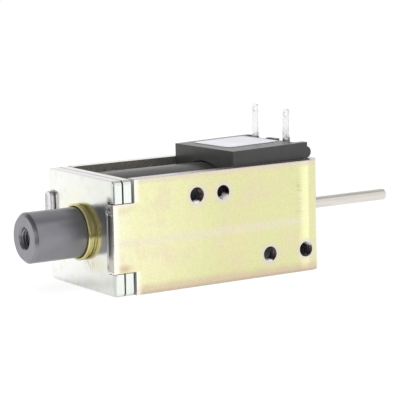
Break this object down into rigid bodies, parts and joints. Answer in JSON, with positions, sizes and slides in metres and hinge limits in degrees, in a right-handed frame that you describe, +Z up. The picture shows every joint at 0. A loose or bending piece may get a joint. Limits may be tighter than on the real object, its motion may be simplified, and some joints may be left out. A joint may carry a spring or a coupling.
{
  "type": "push pull solenoid",
  "caption": "Open-frame push pull solenoid: plated U yoke, brass-guided plunger with a threaded end, and a push rod through the back.",
  "frame": {"origin": "on the plunger axis, in the outer face of the front plates", "axes": "+X along the plunger axis from the plunger's threaded end to the rod's end, +Z up out of the side with the terminals"},
  "size_m": [0.11, 0.033, 0.0412],
  "materials": {
    "yellow_zinc": "yellow-passivated zinc plate, satin, with pink and green tints",
    "white_zinc": "white zinc plate, satin and mottled",
    "brass": "drawn brass, satin",
    "core_steel": "turned steel",
    "bronze": "sintered bronze",
    "spring_steel": "bright spring steel",
    "black_nylon": "moulded glass-filled nylon",
    "copper_wire": "enamelled copper wire",
    "coil_tape": "dark grey polyester tape",
    "block_plastic": "moulded dark grey nylon",
    "label_film": "plain white film label",
    "tinned_tab": "tinned brass tab",
    "lead_sleeve": "red insulation",
    "plunger_steel": "dark grey nitrided steel, satin",
    "rod_steel": "ground stainless steel"
  },
  "bodies": {
    "solenoid": {"yoke_frame": "yellow_zinc", "front_plate_outer": "white_zinc", "front_plate_inner": "white_zinc", "guide_tube": "brass", "fixed_core": "core_steel", "rod_bush": "bronze", "spring_washer": "spring_steel", "coil_bobbin": "black_nylon", "coil_winding": "copper_wire", "coil_wrap": "coil_tape", "terminal_block": "block_plastic", "rating_label": "label_film", "terminal_near": "tinned_tab", "terminal_far": "tinned_tab", "coil_lead_near": "lead_sleeve", "coil_lead_far": "lead_sleeve"},
    "plunger_rod": {"plunger": "plunger_steel", "push_rod": "rod_steel", "anti_stick_washer": "bronze", "rod_lock_pin": "spring_steel"}
  },
  "joints": [
    {"name": "plunger_slide", "type": "slide", "parent": "solenoid", "child": "plunger_rod", "axis": [1, 0, 0], "range_m": [0, 0.0125]}
  ]
}
